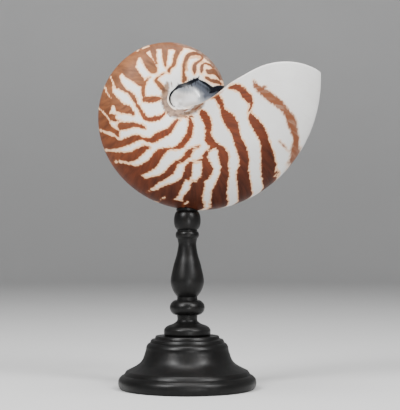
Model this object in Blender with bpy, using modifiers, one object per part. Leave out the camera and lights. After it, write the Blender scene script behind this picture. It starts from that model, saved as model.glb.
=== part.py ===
"""Nautilus shell on a turned wooden stand, in metres, +Z up.

The origin is the centre of the base's underside. The shell's coil axis lies along Y, and its aperture faces +X.
Angles round the coil are measured about that axis from +X towards +Z, and they grow towards the lip.
"""

import math

import bmesh
import bpy
import numpy as np

TURN = 2 * math.pi
CONTACT_GAP = 0.0003

# Shell: the venter is a logarithmic spiral about the coil axis
COIL_X = -0.0063
COIL_Z = 0.2170
LIP_RADIUS = 0.1105
LIP_ANGLE = math.radians(371.8)
GROWTH_PER_TURN = 3.07
WALL = 0.0018

# Whorl section, as fractions of the venter's radius: half-breadth against distance from the coil axis
HALF_BREADTH = 0.366
WIDEST_AT = 0.36
VENTER_ROUNDNESS = 0.46
SHOULDER_OFFSET = 0.02

# Umbilicus: a funnel on each side, down to a floor at this distance from the middle plane. Inside the umbilicus
# the turn's end fades into its beginning, and the lip rises from there over its own width
FUNNEL_FLOOR = 0.0120
FUNNEL_FRACTION = 0.14
UMBILICUS_RADIUS = 0.0075
LIP_RISE = 0.0080
LIP_FADE = 0.20
HORN_RADIUS = 0.0115

# Lip line seen along the coil axis: how far it runs ahead of its outermost point, in degrees,
# against distance from the coil axis as a fraction of the lip's radius
LIP_LINE = (
    (0.00, -70.0),
    (0.09, -41.0),
    (0.15, -24.5),
    (0.22, -11.5),
    (0.32, 0.8),
    (0.47, 7.2),
    (0.60, 9.0),
    (0.73, 7.8),
    (0.85, 5.0),
    (1.00, 0.0),
)

# Loft: columns round the coil and rows from the venter to the coil axis
COLUMNS_PER_TURN = 52
FLANK_ROWS = 11
FUNNEL_ROWS = 3
SLOPE_STEP = 0.002
SHARP_EDGE = math.radians(50)

# Body chamber, behind the lip, closed by the last septum
CHAMBER_COLUMNS = 19
SEPTUM_ROWS = 3
SEPTUM_DEPTH = math.radians(13)

# Part of the shell's underside that the stem's collar is dished to
SEAT_TURNS = (0.66, 0.80)
SEAT_COLUMNS = 10
SEAT_ROWS = 5

# Stem outline from the top down. A bead is its neck radius, full radius, top and bottom; the rest are
# radius and height
STEM_STEPS = 28
STEM_COLLAR = ((0.0080, 0.1384), (0.0084, 0.1376), (0.0084, 0.1352))
STEM_BALL = (0.0076, 0.0102, 0.1346, 0.1207)
STEM_RING = (0.0077, 0.0089, 0.1192, 0.1140)
STEM_VASE = (
    (0.0072, 0.1122),
    (0.0069, 0.1085),
    (0.0082, 0.1012),
    (0.0104, 0.0936),
    (0.0127, 0.0818),
    (0.0110, 0.0744),
    (0.0076, 0.0695),
)
STEM_KNOP = (0.0078, 0.0133, 0.0672, 0.0556)
STEM_FOOT = (
    (0.0076, 0.0536),
    (0.0078, 0.0515),
    (0.0104, 0.0493),
    (0.0152, 0.0474),
    (0.0170, 0.0458),
    (0.0177, 0.0442),
    (0.0177, 0.0415),
)
STEM_FOOT_EDGE = 0.0172

# Base outline from the top down, as radius and height
BASE_STEPS = 44
BASE_HEIGHT = 0.0400
BASE_TOP = ((0.0238, BASE_HEIGHT), (0.0242, 0.0396), (0.0246, 0.0380))
BASE_LEDGES = ((0.0272, 0.0373), (0.0280, 0.0360), (0.0282, 0.0348), (0.0297, 0.0342), (0.0306, 0.0330))
BASE_BELL = ((0.0312, 0.0315), (0.0318, 0.0283), (0.0343, 0.0216), (0.0384, 0.0176), (0.0464, 0.0134))
BASE_FILLET = ((0.0474, 0.0118), (0.0480, 0.0106))
BASE_ROLL = (
    (0.0500, 0.0097),
    (0.0518, 0.0078),
    (0.0525, 0.0050),
    (0.0522, 0.0024),
    (0.0512, 0.0006),
    (0.0506, 0.0),
)


def venter_radius(angle):
    return LIP_RADIUS * GROWTH_PER_TURN ** ((angle - LIP_ANGLE) / TURN)


def section_shape(x):
    shoulder = VENTER_ROUNDNESS * (SHOULDER_OFFSET + WIDEST_AT) / (1 - WIDEST_AT)
    return (1 - x) ** VENTER_ROUNDNESS * (x + SHOULDER_OFFSET) ** shoulder


def ease(u):
    """0 below 0 and 1 above 1, with a smooth step between."""
    u = min(max(u, 0.0), 1.0)
    return u * u * (3 - 2 * u)


def half_breadth(rho, venter):
    """Distance of the whorl's flank from the middle plane, rho from the coil axis."""
    x = min(rho / venter, 1.0)
    flank = venter * HALF_BREADTH * section_shape(x) / section_shape(WIDEST_AT)
    rise = ease(rho / (FUNNEL_FRACTION * venter))
    return FUNNEL_FLOOR * (1 - rise) + flank * rise


def skin_height(rho, venter, t):
    """Distance of the skin from the middle plane, with the lip's end faded into the turn before it."""
    own = half_breadth(rho, venter)
    fade = ease(1 - (1 - t) / LIP_FADE) * (1 - ease((rho - UMBILICUS_RADIUS) / LIP_RISE))
    if fade == 0:
        return own
    return own + (half_breadth(rho, venter / GROWTH_PER_TURN) - own) * fade


def lip_angle(rho):
    """Angle of the lip line at rho, on a smooth curve through LIP_LINE."""
    radii, leads = np.array(LIP_LINE).T
    x = rho / LIP_RADIUS
    i = int(np.clip(np.searchsorted(radii, x) - 1, 0, len(radii) - 2))
    width = radii[i + 1] - radii[i]
    start_slope, end_slope = np.gradient(leads, radii)[i:i + 2] * width
    u = (x - radii[i]) / width
    lead = (
        leads[i] * (1 + 2 * u) * (1 - u) ** 2
        + leads[i + 1] * u * u * (3 - 2 * u)
        + start_slope * u * (1 - u) ** 2
        - end_slope * u * u * (1 - u)
    )
    return LIP_ANGLE + math.radians(lead)


def skin_point(t, row):
    """A point of the outer skin.

    t is in turns: 1 on the lip line, 0 where the last turn begins under it, and below 0 inside the body chamber.
    row is 0 on the venter, FLANK_ROWS at the chamber's horn and FLANK_ROWS + FUNNEL_ROWS on the coil axis,
    positive on the +Y flank and negative on the -Y flank.
    """
    k = abs(row)
    rho = HORN_RADIUS
    for _ in range(12):
        angle = lip_angle(rho) - TURN * (1 - t)
        venter = venter_radius(angle)
        if k <= FLANK_ROWS:
            rho = HORN_RADIUS + (venter - HORN_RADIUS) * (1 + math.cos(math.pi * k / FLANK_ROWS)) / 2
        else:
            rho = HORN_RADIUS * (1 - (k - FLANK_ROWS) / FUNNEL_ROWS)
    y = math.copysign(skin_height(rho, venter, t), row) if k else 0.0
    return np.array((COIL_X + rho * math.cos(angle), y, COIL_Z + rho * math.sin(angle)))


def offset_point(t, row, distance):
    """The skin's point moved out along the skin's normal, or in where distance is negative."""
    point = skin_point(t, row)
    row_step = SLOPE_STEP * COLUMNS_PER_TURN
    along = skin_point(t + SLOPE_STEP, row) - skin_point(t - SLOPE_STEP, row)
    across = skin_point(t, row + row_step) - skin_point(t, row - row_step)
    normal = np.cross(along, across)
    normal /= np.linalg.norm(normal)
    if normal @ (point - np.array((COIL_X, 0.0, COIL_Z))) < 0:
        normal = -normal
    return point + distance * normal


def septum_point(wall, dorsal, u, row):
    """Between the chamber's outer wall and the turn inside it, bulging back from the aperture."""
    rhos = [math.hypot(p[0] - COIL_X, p[2] - COIL_Z) for p in (wall, dorsal)]
    angles = [math.atan2(p[2] - COIL_Z, p[0] - COIL_X) for p in (wall, dorsal)]
    lag = (angles[0] - angles[1] + math.pi) % TURN - math.pi
    bulge = SEPTUM_DEPTH * math.sin(math.pi * u) * (1 - (row / FLANK_ROWS) ** 2)
    angle = angles[0] - u * lag - bulge
    rho = rhos[0] + (rhos[1] - rhos[0]) * u
    y = wall[1] + (dorsal[1] - wall[1]) * u
    return np.array((COIL_X + rho * math.cos(angle), y, COIL_Z + rho * math.sin(angle)))


def add_sheet(bm, rows):
    """The quads between neighbouring rows of points."""
    made = [[bm.verts.new(point) for point in row] for row in rows]
    for first, second in zip(made, made[1:]):
        for a, b, c, d in zip(first, first[1:], second[1:], second):
            bm.faces.new((a, b, c, d))


def add_polygon(bm, points):
    bm.faces.new([bm.verts.new(point) for point in points])


def finish_loft(bm, name, collection):
    """Sews the sheets along their shared edges and makes the object."""
    bmesh.ops.remove_doubles(bm, verts=bm.verts, dist=1e-6)
    bmesh.ops.recalc_face_normals(bm, faces=bm.faces)
    mesh = bpy.data.meshes.new(name)
    bm.to_mesh(mesh)
    bm.free()
    mesh.shade_smooth()
    mesh.set_sharp_from_angle(angle=SHARP_EDGE)
    loft = bpy.data.objects.new(name, mesh)
    collection.objects.link(loft)
    return loft


def make_shell(collection, material):
    """Outer skin, lip rim, chamber wall, the turn inside the chamber and the last septum, sewn into one body."""
    bm = bmesh.new()
    last_row = FLANK_ROWS + FUNNEL_ROWS
    skin_rows = range(-last_row, last_row + 1)
    flank_rows = range(-FLANK_ROWS, FLANK_ROWS + 1)
    turn_steps = [i / COLUMNS_PER_TURN for i in range(COLUMNS_PER_TURN + 1)]
    chamber_steps = turn_steps[-CHAMBER_COLUMNS - 1:]
    across = [i / SEPTUM_ROWS for i in range(SEPTUM_ROWS + 1)]

    add_sheet(bm, [[skin_point(t, row) for row in skin_rows] for t in turn_steps])
    wall = [[offset_point(t, row, -WALL) for row in flank_rows] for t in chamber_steps]
    dorsal = [[skin_point(t - 1, row) for row in flank_rows] for t in chamber_steps]
    add_sheet(bm, wall)
    add_sheet(bm, dorsal)
    septum = [[septum_point(a, b, u, row) for a, b, row in zip(wall[0], dorsal[0], flank_rows)] for u in across]
    add_sheet(bm, septum)

    lip = [skin_point(1, row) for row in flank_rows]
    add_sheet(bm, [lip, wall[-1]])
    for end, row in ((0, -FLANK_ROWS), (-1, FLANK_ROWS)):
        horn_wall = [[septum_point(a[end], b[end], u, row) for u in across] for a, b in zip(wall, dorsal)]
        add_sheet(bm, horn_wall)
        add_polygon(bm, [lip[end], *horn_wall[-1]])
    for side in (-1, 1):
        web_rows = [side * row for row in range(FLANK_ROWS, last_row + 1)]
        add_sheet(bm, [[skin_point(t, row) for row in web_rows] for t in (0, 1)])

    shell = finish_loft(bm, "nautilus_shell", collection)
    shell.data.materials.append(material)


def make_seat_cutter(collection):
    """The shell's underside grown by the contact gap, closed by a chord across each section."""
    bm = bmesh.new()
    rows = range(-SEAT_ROWS, SEAT_ROWS + 1)
    steps = np.linspace(*SEAT_TURNS, SEAT_COLUMNS + 1)
    loops = [[offset_point(t, row, CONTACT_GAP) for row in rows] for t in steps]
    add_sheet(bm, [loop + loop[:1] for loop in loops])
    add_polygon(bm, loops[0])
    add_polygon(bm, loops[-1])
    cutter = finish_loft(bm, "seat_cutter", collection)
    cutter.hide_render = True
    cutter.display_type = "WIRE"
    return cutter


def smooth_run(stations, steps):
    """Points on a curve through the stations, with this many steps between each two."""
    points = [np.array(p) for p in (stations[0], *stations, stations[-1])]
    run = []
    for p0, p1, p2, p3 in zip(points, points[1:], points[2:], points[3:]):
        for u in (i / steps for i in range(steps)):
            bend = (2 * p0 - 5 * p1 + 4 * p2 - p3) * u**2 + (3 * p1 - p0 - 3 * p2 + p3) * u**3
            run.append(tuple(p1 + ((p2 - p0) * u + bend) / 2))
    return run + [stations[-1]]


def bead(neck, full, top, bottom, steps):
    """Half an ellipse standing out from the neck radius, from the top height down."""
    middle = (top + bottom) / 2
    half = (top - bottom) / 2
    angles = [math.pi * i / steps for i in range(steps + 1)]
    return [(neck + (full - neck) * math.sin(a), middle + half * math.cos(a)) for a in angles]


def stem_outline():
    foot = [*STEM_FOOT, (STEM_FOOT_EDGE, BASE_HEIGHT + CONTACT_GAP)]
    ball = bead(*STEM_BALL, steps=6)
    ring = bead(*STEM_RING, steps=4)
    knop = bead(*STEM_KNOP, steps=6)
    return [*STEM_COLLAR, *ball, *ring, *smooth_run(STEM_VASE, steps=2), *knop, *foot]


def base_outline():
    return [*BASE_TOP, *BASE_LEDGES, *smooth_run(BASE_BELL, steps=3), *BASE_FILLET, *BASE_ROLL]


def make_turned(name, outline, steps, collection, material):
    """An outline closed onto the Z axis at both ends and turned with a Screw."""
    profile = [(0.0, outline[0][1]), *outline, (0.0, outline[-1][1])]
    mesh = bpy.data.meshes.new(name)
    edges = [(i, i + 1) for i in range(len(profile) - 1)]
    mesh.from_pydata([(r, 0.0, z) for r, z in profile], edges, [])
    mesh.materials.append(material)
    turned = bpy.data.objects.new(name, mesh)
    collection.objects.link(turned)
    screw = turned.modifiers.new("turn", "SCREW")
    screw.steps = steps
    screw.render_steps = steps
    screw.use_merge_vertices = True
    screw.merge_threshold = 0.00001
    screw.use_smooth_shade = True
    return turned


def make_material(name, colour, roughness):
    material = bpy.data.materials.new(name)
    material.use_nodes = True
    shader = material.node_tree.nodes["Principled BSDF"]
    shader.inputs["Base Color"].default_value = (*colour, 1.0)
    shader.inputs["Roughness"].default_value = roughness
    shader.inputs["Metallic"].default_value = 0.0
    return material


def main():
    for old in list(bpy.data.objects):
        bpy.data.objects.remove(old, do_unlink=True)
    parts = bpy.data.collections.new("nautilus_on_stand")
    cutters = bpy.data.collections.new("cutters")
    for collection in (parts, cutters):
        bpy.context.scene.collection.children.link(collection)

    shell_cream = make_material("shell_cream", (0.86, 0.80, 0.72), 0.35)
    stem_black = make_material("stem_black", (0.012, 0.012, 0.013), 0.40)
    base_black = make_material("base_black", (0.010, 0.010, 0.011), 0.45)

    make_shell(parts, shell_cream)
    make_turned("base", base_outline(), BASE_STEPS, parts, base_black)
    stem = make_turned("stem", stem_outline(), STEM_STEPS, parts, stem_black)
    seat = stem.modifiers.new("seat", "BOOLEAN")
    seat.operation = "DIFFERENCE"
    seat.solver = "EXACT"
    seat.object = make_seat_cutter(cutters)


main()
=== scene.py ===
"""Finished surfaces, light and camera for the nautilus shell on its turned stand, in metres, +Z up."""

import math

import bmesh
import bpy
import numpy as np
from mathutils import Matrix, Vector
from mathutils.bvhtree import BVHTree


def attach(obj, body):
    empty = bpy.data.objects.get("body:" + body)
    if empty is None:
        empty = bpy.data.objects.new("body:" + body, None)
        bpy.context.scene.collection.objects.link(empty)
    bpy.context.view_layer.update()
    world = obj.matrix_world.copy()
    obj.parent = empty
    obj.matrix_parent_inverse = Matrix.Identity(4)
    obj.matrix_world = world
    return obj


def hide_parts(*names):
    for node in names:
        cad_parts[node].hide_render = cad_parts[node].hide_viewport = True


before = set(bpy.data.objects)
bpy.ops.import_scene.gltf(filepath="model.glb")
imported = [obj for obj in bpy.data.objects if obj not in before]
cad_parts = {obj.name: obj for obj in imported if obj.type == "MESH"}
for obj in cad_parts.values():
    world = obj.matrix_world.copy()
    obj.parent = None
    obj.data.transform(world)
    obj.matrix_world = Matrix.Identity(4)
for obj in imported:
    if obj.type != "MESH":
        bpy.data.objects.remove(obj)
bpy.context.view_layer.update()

TURN = 2 * math.pi
MM = 1000
CONTACT_GAP = 0.0003

# Camera: the photograph's frame is 400 by 410, and its focal length is FOCAL of its pixels
FRAME_SIZE = (400, 410)
FOCAL = 1300.0
EYE = np.array((0.00968, -0.9906, 0.11727))
AIM = np.array((0.00968, 0.0, 0.13937))
SENSOR = 36.0

# The shell's shape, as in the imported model
COIL_X = -0.0063
COIL_Z = 0.2170
LIP_RADIUS = 0.1105
LIP_ANGLE = math.radians(371.8)
GROWTH_PER_TURN = 3.07
WALL = 0.0018
LIP_WALL = 0.0008
LIP_TAPER = 0.05
HALF_BREADTH = 0.366
WIDEST_AT = 0.36
VENTER_ROUNDNESS = 0.46
SHOULDER_OFFSET = 0.02
FUNNEL_FLOOR = 0.0120
FUNNEL_FRACTION = 0.14
UMBILICUS_RADIUS = 0.0075
LIP_RISE = 0.0080
LIP_FADE = 0.20
HORN_RADIUS = 0.0115
LIP_LINE = (
    (0.00, -70.0), (0.09, -41.0), (0.15, -24.5), (0.22, -11.5), (0.32, 0.8), (0.47, 7.2), (0.60, 9.0),
    (0.73, 7.8), (0.85, 5.0), (1.00, 0.0),
)
CHAMBER_TURNS = 19 / 52
SEPTUM_DEPTH = math.radians(13)

# Fine loft: columns round the coil, rows from the venter to the chamber's horn and on to the coil axis. A
# row's radius and the lip line depend on each other and are solved in rounds
COLUMNS = 420
FLANK_ROWS = 70
FUNNEL_ROWS = 26
CHAMBER_COLUMNS = 76
SEPTUM_ROWS = 24
HORN_SKIN_COLUMNS = 14
RIM_ROWS = 4
RIM_SWELL = 0.35
RIM_FADE_ROWS = 6
SOLVE_ROUNDS = 14
SLOPE_STEP = 0.0005
ROW_STEP = 0.3
ROW_SAMPLES = 2001
SEAM = 1e-6
SHELL_CREASE = math.radians(50)

# Stand outlines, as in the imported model
STEM_STEPS = 128
STEM_CAP_RINGS = 8
STEM_COLLAR = ((0.0080, 0.1384), (0.0083, 0.1381), (0.0084, 0.1376), (0.0084, 0.1352), (0.0081, 0.1348))
STEM_BALL = (0.0076, 0.0102, 0.1346, 0.1207)
STEM_RING = (0.0077, 0.0089, 0.1192, 0.1140)
STEM_VASE = (
    (0.0072, 0.1122), (0.0069, 0.1085), (0.0082, 0.1012), (0.0104, 0.0936), (0.0127, 0.0818),
    (0.0110, 0.0744), (0.0076, 0.0695),
)
STEM_KNOP = (0.0078, 0.0133, 0.0672, 0.0556)
STEM_FOOT = (
    (0.0076, 0.0536), (0.0078, 0.0515), (0.0104, 0.0493), (0.0152, 0.0474), (0.0170, 0.0458),
    (0.0177, 0.0442), (0.0177, 0.0415), (0.0172, 0.0403),
)
BASE_STEPS = 192
BASE_CAP_RINGS = 3
BASE_TOP = ((0.0238, 0.0400), (0.0242, 0.0396), (0.0246, 0.0380))
BASE_LEDGES = ((0.0272, 0.0373), (0.0280, 0.0360), (0.0282, 0.0348), (0.0297, 0.0342), (0.0306, 0.0330))
BASE_BELL = ((0.0312, 0.0315), (0.0318, 0.0283), (0.0343, 0.0216), (0.0384, 0.0176), (0.0464, 0.0134))
BASE_FILLET = ((0.0474, 0.0118), (0.0480, 0.0106))
BASE_ROLL = (
    (0.0500, 0.0097), (0.0518, 0.0078), (0.0525, 0.0050), (0.0522, 0.0024), (0.0512, 0.0006),
    (0.0506, 0.0),
)
STAND_CREASE = math.radians(35)

# The collar's top follows the shell's underside, looked for upwards from this height
BELOW_SHELL = 0.10

# Markings. Each stroke is a run of (x, y, width) on the photograph's frame, in its pixels, and
# flank_place carries it to the shell. Masses are brown, gaps are cut from them, and stripes are drawn last
MASSES = (
    ((143, 53, 8), (135, 58, 12), (128, 64, 17), (129, 70, 15), (134, 75, 12.5), (139, 80, 9.5),
     (142.5, 84.5, 5)),
    ((128, 60, 14), (120, 67, 12), (116, 74, 9), (115.5, 79, 9.5), (117.5, 83.5, 9), (120, 86.5, 6),
     (124, 89, 3)),
    ((115, 72, 8), (110.5, 80, 8), (108, 87, 9), (107, 94, 12), (108, 101, 16), (105, 108, 13),
     (103.5, 115, 12), (103, 122, 14), (102, 129, 14)),
    ((110, 100, 14), (117, 105.5, 11), (122, 108.3, 9.5), (127, 109.3, 8.5), (131, 112, 5),
     (133, 114.8, 1.8)),
    ((102, 117, 8), (109, 117.5, 8), (114, 117.8, 7), (118, 119.5, 4)),
    ((115.5, 130.5, 8), (117, 134, 4.5), (118.2, 137.5, 1.2)),
    ((106, 127, 10), (112, 129, 4)),
    ((106, 156, 9), (112, 163, 8), (119, 168, 12), (127, 173, 16), (135, 180, 17), (142, 187, 15),
     (150, 194, 12)),
    ((156, 197, 18), (164, 195, 18), (172, 191, 15), (179, 185.5, 9.5), (184, 180.5, 6.5),
     (187, 175.5, 8.4), (188, 170, 7.4), (190, 164.5, 5)),
    ((198, 184.5, 12.5), (196.2, 190, 15), (193.6, 195.5, 17), (192.5, 202, 20), (192, 209, 22)),
    ((160, 204, 14), (175, 207, 14), (190, 209, 14), (205, 210, 14)),
)
GAPS = (
    ((140.5, 57.6, 1.5), (139.3, 60, 4.4), (139, 64, 5.6), (140, 68, 6.6), (142.8, 72, 7),
     (146, 75.5, 7.5), (146, 78, 3)),
    ((120, 75.5, 1.5), (122, 77.5, 5), (125, 81, 8), (129, 85, 9.5), (133, 88.5, 9.5), (137, 91.5, 9.5),
     (139.5, 96, 8)),
    ((118.5, 90, 4), (121, 95, 9.5), (125, 98, 9), (129.5, 100.8, 7.5), (132.3, 105, 4.5),
     (134, 109.5, 3.5)),
    ((110.7, 76.8, 1.4), (112, 80.6, 1.7), (113.7, 84.5, 1.9), (115.2, 88.4, 2.1), (117, 92.5, 3)),
    ((105.4, 86.5, 1.2), (106.4, 91.5, 1.8), (108.4, 95, 1.7), (111, 98.3, 1)),
    ((112.8, 106.5, 2.5), (113.3, 109.5, 5.4), (113.8, 112.5, 4)),
    ((117.5, 117, 5), (123, 117.5, 8.4), (129, 117.8, 8)),
    ((100, 108.4, 1.2), (103.5, 112.6, 1.8), (107.3, 116.8, 1.9), (110.2, 120.8, 2.2), (113, 124.3, 4.4),
     (116.2, 127.2, 4), (118, 129.8, 1.4)),
    ((99, 128.3, 1.4), (103, 131.2, 2.2), (107.5, 132.8, 3), (111, 133.2, 2.8), (114.5, 135.6, 2.2),
     (118, 139, 2.6), (119.5, 140.8, 1.6)),
    ((114.4, 161.6, 1.2), (118, 162.3, 2), (123, 162.2, 2), (127, 161.3, 1.4)),
    ((187, 160.7, 2.6), (183, 163.5, 5.5), (180.3, 167, 7), (179.7, 171, 7), (177.5, 175.5, 7.4),
     (173, 179.5, 7), (167, 182.3, 5.4), (161, 184.6, 5.2), (156, 187.2, 5.2), (151.5, 189.8, 3),
     (147.5, 191.5, 1.6)),
    ((186.8, 180.6, 2), (187, 184.5, 8), (184.8, 189, 7.8), (181.8, 193.5, 5.6), (178.8, 197.5, 3),
     (177, 200, 1)),
    ((197.8, 161, 4), (197.3, 165, 7.4), (196.8, 170, 8.6), (196.3, 175, 8.6), (195.3, 178.3, 6.6)),
    ((214.5, 172, 7.5), (212.5, 178, 11.5), (210.7, 184, 11), (208.8, 189, 9), (206.8, 195, 8.6),
     (206.8, 201, 6), (206.5, 208, 6), (206.5, 214, 6)),
    ((161.5, 198.7, 1.4), (164.5, 197.9, 2)),
    ((183.5, 204.5, 1.5), (187.5, 202.4, 1.8)),
)
STRIPES = (
    ((150, 77, 0.8), (147.6, 78.8, 1.6), (145.5, 82.5, 1.9), (143.7, 86.5, 3), (143.2, 91, 3.2),
     (143.6, 95.5, 3.4)),
    ((144.5, 99.2, 5), (148.5, 99.6, 6.2), (153.5, 99.3, 6.2), (157.5, 98.8, 4.6), (161.5, 98.6, 1.4)),
    ((165, 113.3, 2.2), (162, 115.8, 3), (159, 117.6, 4.4), (155, 118.7, 5), (150.5, 119.4, 4.6),
     (146.5, 118.2, 4.4), (143.5, 115.5, 3.8), (141, 111.5, 3.4), (139, 107.5, 3), (136.8, 104.5, 2.6),
     (135.6, 101.5, 3.2), (133.6, 98, 4), (131.5, 95, 3.8), (128.5, 92.4, 2.8), (124.8, 90.2, 3),
     (121, 87, 5)),
    ((141.5, 52, 7), (143.5, 55.5, 6.5), (145.5, 58, 8), (148, 61.5, 9.6), (150.3, 65.2, 10.2),
     (152.8, 69, 9), (154.4, 71.8, 3.6)),
    ((152.5, 47, 6), (153.5, 51, 6.4), (154, 55, 5), (155, 59, 3), (156.2, 62.5, 2), (157.3, 65, 0.8)),
    ((146, 50, 5), (151, 48, 5), (157, 46.5, 6), (163, 46, 7), (168, 46.5, 6.5), (173, 46.8, 5.5),
     (178, 47.8, 5.5)),
    ((152, 46.6, 4), (157, 45, 4.4), (163, 44.2, 4.4), (169, 44.2, 4), (174, 44.8, 2.4)),
    ((165, 47, 7), (165, 53, 5.8), (164.9, 58, 4.6), (165, 63, 3), (165.3, 66.5, 1.4)),
    ((180.5, 48.5, 5), (177.3, 52.5, 4.8), (175.3, 57.5, 4.2), (174.5, 62, 3.6), (173.2, 65.5, 3.2),
     (170.5, 67.8, 2.4), (169.2, 70, 3.6), (169, 72.6, 1.4)),
    ((164.8, 73, 0.8), (160, 75.6, 1.3), (156.5, 78.5, 1.8), (155.8, 80.5, 3), (158.5, 83.4, 4.2),
     (161.5, 87, 4.8), (163.6, 90.8, 3), (164.4, 94.5, 1)),
    ((180, 119.2, 1.2), (177, 120.6, 3.2), (174.6, 123.2, 3.8), (172.4, 126.8, 4.4), (169.6, 130.4, 5.6),
     (166.4, 132.4, 6.8), (162.8, 134, 7), (159, 135.8, 7.4), (155.8, 138, 7), (152.7, 140, 5.4),
     (149.5, 140, 4.2), (146, 139.4, 3.6), (142.6, 138.4, 2.8), (139, 138, 4.6), (135.2, 138.2, 6.4),
     (132.2, 139.4, 7.3), (128, 141.2, 7.6), (124.3, 142.4, 7.4), (119.9, 144.2, 7), (117, 144, 8.6),
     (112.7, 143.1, 12), (108, 142.2, 13.6), (103, 141.2, 14.4), (97, 140, 14.5)),
    ((145.4, 128, 1.4), (143, 127, 3.6), (140, 126, 3.8), (137.8, 125.5, 3.8), (133.2, 124.9, 5),
     (127, 125.8, 6.9), (121.5, 126, 7.8), (118.6, 125, 3)),
    ((150.3, 148.3, 0.8), (147.5, 147.8, 3), (144.5, 148.2, 5.6), (141.3, 150.4, 7.4), (138, 152.8, 8.6),
     (134.3, 155.4, 9.4), (130, 157, 9.6), (124, 156.6, 8), (118, 156.2, 7.6), (112, 156, 8),
     (105, 155.5, 8.6)),
    ((181, 116.4, 1), (186, 117.2, 1.2), (189.5, 116.8, 1.8), (192.6, 116.4, 1)),
    ((190.3, 117, 2.2), (190.2, 120.5, 3.2), (190.8, 125, 5.6), (190, 130, 5.4), (189, 135, 6.2),
     (186, 139.5, 6.2), (182.8, 143.5, 5.6), (179.5, 146.8, 4.6), (174, 148.3, 2.2), (169, 148.9, 2.2),
     (164.3, 150.6, 5), (160.4, 153, 8), (157, 157, 9), (153.4, 162.5, 9.8), (149.6, 165.5, 10),
     (146.2, 167.4, 9.8), (142.4, 169.3, 9.5), (137.8, 170.8, 9.8), (134, 172, 12), (129, 172, 14)),
    ((199.3, 146, 1), (196, 147.4, 1.6), (192.5, 148.8, 2.8), (190, 151.5, 5.6), (187.8, 154.8, 6),
     (185, 157.8, 4.6), (182, 160.4, 4.4), (178, 161.8, 3), (175, 164.2, 4.8), (172.5, 167.8, 6.6),
     (170.5, 171, 7.5), (167, 174.3, 6.6), (161.3, 178, 6), (156, 179.8, 7), (151.5, 182, 9.6),
     (147.4, 184, 11), (143, 186, 12.5), (138, 187.5, 13)),
    ((200.4, 110.8, 2), (203, 114, 7), (206, 118.5, 7.5), (208, 124, 7), (208.2, 130, 5.6),
     (208.4, 135.5, 5.4), (209.5, 140, 8.2), (213, 144, 7), (218, 146.5, 4.6), (221.5, 150, 7),
     (223.5, 155, 10), (223.8, 160, 9.2), (224.4, 165, 7), (224.7, 170, 8.1), (224.2, 175, 9.2),
     (222.7, 180, 10.2), (221.6, 185, 11.3), (220.2, 190, 14), (219, 196, 15.5), (219.5, 203, 17),
     (220, 211, 18)),
    ((212, 147.5, 3), (208.5, 151, 2.2), (205.8, 154.3, 4.6), (204.8, 158.5, 5.6), (205.9, 162, 7),
     (206.7, 165.5, 8.8), (207.3, 169.5, 11), (206.6, 172.5, 9.8), (205, 176, 7.4), (203.2, 179.5, 5),
     (200, 183.5, 8)),
    ((203.5, 158.6, 3), (199, 160.2, 1.8), (194.5, 161.2, 1.4), (191.5, 162.8, 1.6)),
)

# On the turn that the lip covers, and on the last turn ahead of it
STRIPES_BEHIND_LIP = (
    ((173, 44.4, 3), (180, 45.4, 3.4), (186, 46.4, 3.6), (192, 48, 3.6), (198, 51, 3.4),
     (204, 55.6, 3.2), (210, 61, 2.6), (215, 67, 2.2), (219.4, 73, 2.2), (222.4, 79, 2)),
    ((203.4, 56, 2.2), (199.4, 54, 3.2), (195.6, 53.4, 3.6), (192, 53.8, 3.6), (189, 55, 3.8),
     (186.9, 57.4, 4), (185.7, 60.4, 3.8), (185, 63.4, 4), (184.6, 66.4, 4.4), (184.1, 69.4, 3.2),
     (183.3, 72.4, 2.2), (183.8, 75.4, 3.2), (184.5, 78.4, 4.6), (183.4, 81, 3)),
    ((202.3, 56.8, 2), (201.7, 59, 2), (199.5, 61, 1.8), (197.1, 62.5, 1.8), (195.2, 64.2, 2.8),
     (194.4, 66.8, 3.6), (194.5, 69.2, 3.9), (194.4, 71.7, 2.8), (194.3, 73.6, 1)),
    ((202.9, 64.6, 1.6), (201.8, 66.2, 2.6), (201.6, 68.7, 2.8), (201.5, 71.2, 2.2), (201.4, 72.8, 0.8)),
    ((203.4, 63.8, 0.8), (206, 63.5, 1.2), (208.6, 64.3, 1.9), (210.8, 65.6, 1.7), (213.4, 67.5, 1.2)),
    ((207.2, 70.8, 2.4), (209.2, 71.9, 4.4), (212.6, 71.5, 5), (216, 72.3, 5.6), (218.4, 75, 4.6),
     (220.2, 78.6, 2.6)),
    ((205.8, 77.6, 1.2), (207.8, 78.5, 3), (209.8, 80, 2.4), (212.8, 81, 3.2), (216.2, 81.6, 3.8),
     (218.8, 82.4, 2.8), (220.8, 84, 1.8)),
)
STRIPES_OVER_LIP = (
    ((210.8, 98.2, 0.8), (214.3, 96.8, 3), (217.6, 97.5, 5.2), (219.6, 101.2, 5), (221.6, 105.5, 4.6),
     (222.8, 110, 4.8), (225.5, 114.5, 8.5), (229, 119.5, 11.5), (232.2, 125, 11.5), (234.8, 131, 9),
     (236.8, 137, 7.5), (239.3, 143.5, 8.8), (241.8, 150, 9.6), (243.8, 157, 9.6), (244, 164, 9),
     (243.2, 170.5, 10.8), (243, 177, 13), (244.2, 184, 13.4), (244.8, 191, 13.8), (245, 198, 14),
     (245, 207, 14)),
    ((228.6, 87.4, 1.5), (232.5, 87.2, 4.6), (237.5, 87.5, 6.5), (241.5, 90, 6.5), (245, 94.5, 7.5),
     (248.5, 98, 8), (250.5, 102.5, 4), (250.3, 108, 1.6), (249.8, 113.5, 2.6), (252, 118.5, 7),
     (256, 124, 10), (259.8, 130, 10), (263, 136.5, 9.5), (265.3, 143, 9), (266.5, 150, 11),
     (267.8, 157, 13.5), (268.5, 164, 15), (268.3, 171, 14.5), (267.8, 178, 12), (267.3, 185, 9),
     (268, 194, 8)),
    ((272, 177, 3), (277.3, 171.5, 1.6)),
)

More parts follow.
